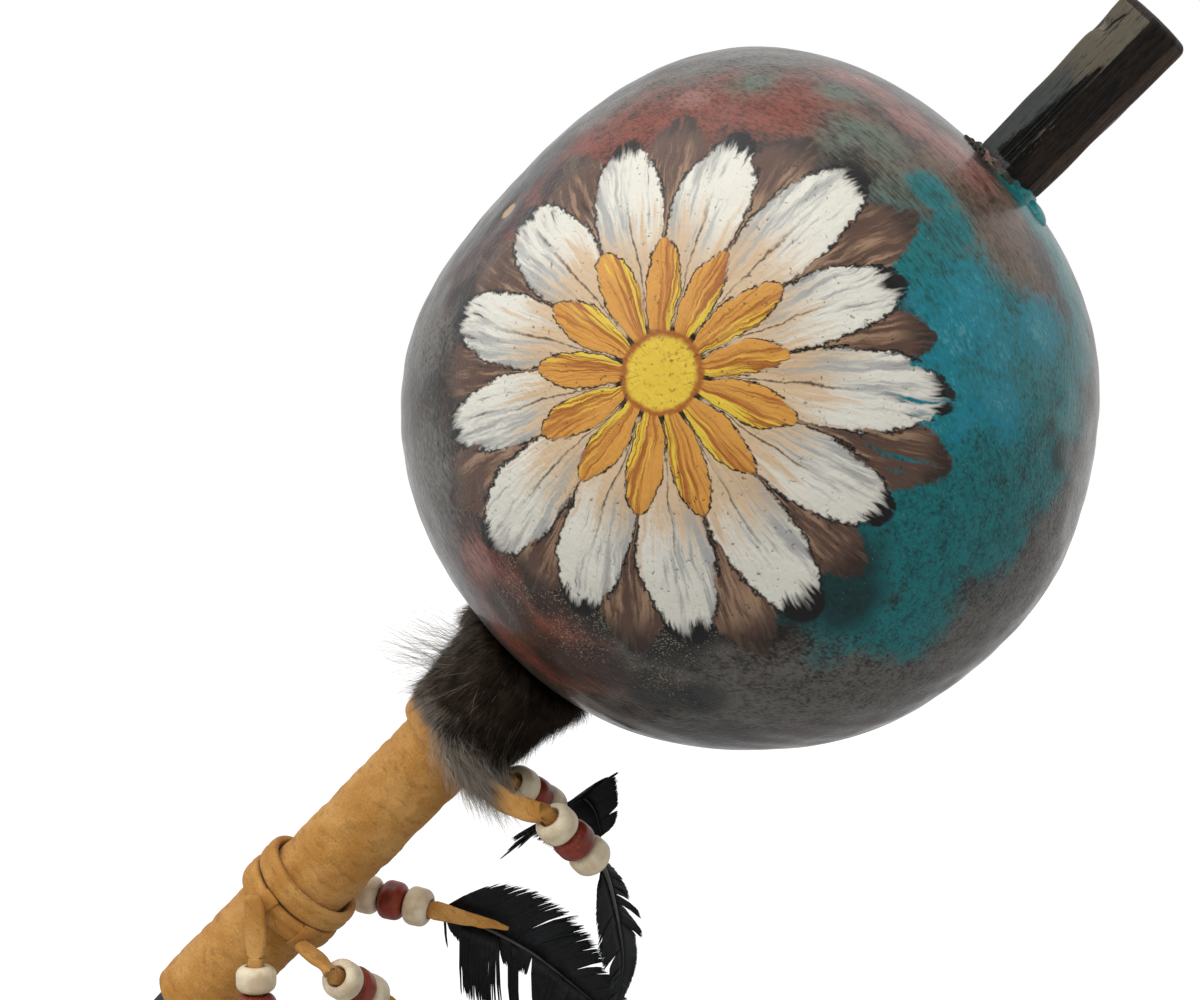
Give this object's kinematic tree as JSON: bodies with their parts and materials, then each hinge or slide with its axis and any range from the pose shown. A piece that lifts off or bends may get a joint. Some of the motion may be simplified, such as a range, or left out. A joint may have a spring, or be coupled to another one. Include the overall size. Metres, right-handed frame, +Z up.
{
  "type": "gourd rattle",
  "caption": "Hand rattle: a painted hollow gourd on a whittled stick, loose seeds inside, a fur collar, a buckskin grip and beaded thongs with black feathers.",
  "frame": {"origin": "middle of the hand grip, on the stick's axis", "axes": "+Z up as the rattle is held; the stick leans 45 degrees from upright towards +X, with the gourd at its upper end; -Y faces the front of the gourd"},
  "size_m": [0.2113, 0.1296, 0.2493],
  "materials": {
    "painted_gourd": "brush-painted gourd skin under a satin varnish, dark brown and rust with a teal side",
    "dark_stick": "whittled stick stained black-brown, satin",
    "glue": "dark crumbly glue, partly painted over",
    "buckskin": "soft golden buckskin, finely creased",
    "fur": "dense dark brown fur with paler tips",
    "thong_leather": "golden-orange cut leather thong",
    "cream_bead": "cream barrel bead, low gloss",
    "red_bead": "brick-red barrel bead, low gloss",
    "feather": "black feather with a cool grey sheen",
    "seed": "dry brown seed"
  },
  "bodies": {
    "rattle": {"gourd_shell": "painted_gourd", "through_stick": "dark_stick", "top_glue_ring": "glue", "bottom_glue_ring": "glue", "handle_sleeve": "buckskin", "fur_collar": "fur", "upper_lace": "thong_leather", "middle_lace": "thong_leather", "lower_lace": "thong_leather"},
    "dangle_a": {"thong_a": "thong_leather", "bead_a_1": "cream_bead", "bead_a_2": "red_bead", "bead_a_3": "cream_bead", "feather_a": "feather"},
    "dangle_b": {"thong_b": "thong_leather", "bead_b_1": "cream_bead", "bead_b_2": "red_bead", "bead_b_3": "cream_bead", "feather_b": "feather"},
    "dangle_c": {"thong_c": "thong_leather", "bead_c_1": "cream_bead", "bead_c_2": "red_bead", "bead_c_3": "cream_bead", "feather_c": "feather"},
    "dangle_d": {"thong_d": "thong_leather", "bead_d_1": "cream_bead", "bead_d_2": "red_bead", "bead_d_3": "cream_bead", "feather_d": "feather"},
    "dangle_e": {"thong_e": "thong_leather", "bead_e_1": "cream_bead", "bead_e_2": "red_bead", "bead_e_3": "cream_bead", "feather_e": "feather"},
    "seed_01": {"seed_01": "seed"},
    "seed_02": {"seed_02": "seed"},
    "seed_03": {"seed_03": "seed"},
    "seed_04": {"seed_04": "seed"},
    "seed_05": {"seed_05": "seed"},
    "seed_06": {"seed_06": "seed"},
    "seed_07": {"seed_07": "seed"},
    "seed_08": {"seed_08": "seed"},
    "seed_09": {"seed_09": "seed"},
    "seed_10": {"seed_10": "seed"}
  },
  "joints": [
    {"name": "dangle_a_swing", "type": "hinge", "parent": "rattle", "child": "dangle_a", "pos_m": [0.04306, 0, 0.02227], "axis": [0, 0, 1], "range_deg": [-35, 8]},
    {"name": "dangle_b_swing", "type": "hinge", "parent": "rattle", "child": "dangle_b", "pos_m": [0.03818, -0.01247, 0.02716], "axis": [0.7071, 0, 0.7071], "range_deg": [-75, 5]},
    {"name": "dangle_c_swing", "type": "hinge", "parent": "rattle", "child": "dangle_c", "pos_m": [0.00064, 0.0147, 0.00064], "axis": [0.7071, 0, 0.7071], "range_deg": [-6, 75]},
    {"name": "dangle_d_swing", "type": "hinge", "parent": "rattle", "child": "dangle_d", "pos_m": [0.00442, -0.01002, -0.01078], "axis": [0.7071, 0, 0.7071], "range_deg": [-70, 5]},
    {"name": "dangle_e_swing", "type": "hinge", "parent": "rattle", "child": "dangle_e", "pos_m": [-0.00499, -0.01448, -0.00138], "axis": [0.7071, 0, 0.7071], "range_deg": [-60, 0]},
    {"name": "seed_01_hop", "type": "slide", "parent": "rattle", "child": "seed_01", "axis": [0, 0, 1], "range_m": [0, 0.038]},
    {"name": "seed_02_hop", "type": "slide", "parent": "rattle", "child": "seed_02", "axis": [0, 0, 1], "range_m": [0, 0.038]},
    {"name": "seed_03_hop", "type": "slide", "parent": "rattle", "child": "seed_03", "axis": [0, 0, 1], "range_m": [0, 0.038]},
    {"name": "seed_04_hop", "type": "slide", "parent": "rattle", "child": "seed_04", "axis": [0, 0, 1], "range_m": [0, 0.038]},
    {"name": "seed_05_hop", "type": "slide", "parent": "rattle", "child": "seed_05", "axis": [0, 0, 1], "range_m": [0, 0.038]},
    {"name": "seed_06_hop", "type": "slide", "parent": "rattle", "child": "seed_06", "axis": [0, 0, 1], "range_m": [0, 0.038]},
    {"name": "seed_07_hop", "type": "slide", "parent": "rattle", "child": "seed_07", "axis": [0, 0, 1], "range_m": [0, 0.038]},
    {"name": "seed_08_hop", "type": "slide", "parent": "rattle", "child": "seed_08", "axis": [0, 0, 1], "range_m": [0, 0.038]},
    {"name": "seed_09_hop", "type": "slide", "parent": "rattle", "child": "seed_09", "axis": [0, 0, 1], "range_m": [0, 0.038]},
    {"name": "seed_10_hop", "type": "slide", "parent": "rattle", "child": "seed_10", "axis": [0, 0, 1], "range_m": [0, 0.038]}
  ]
}
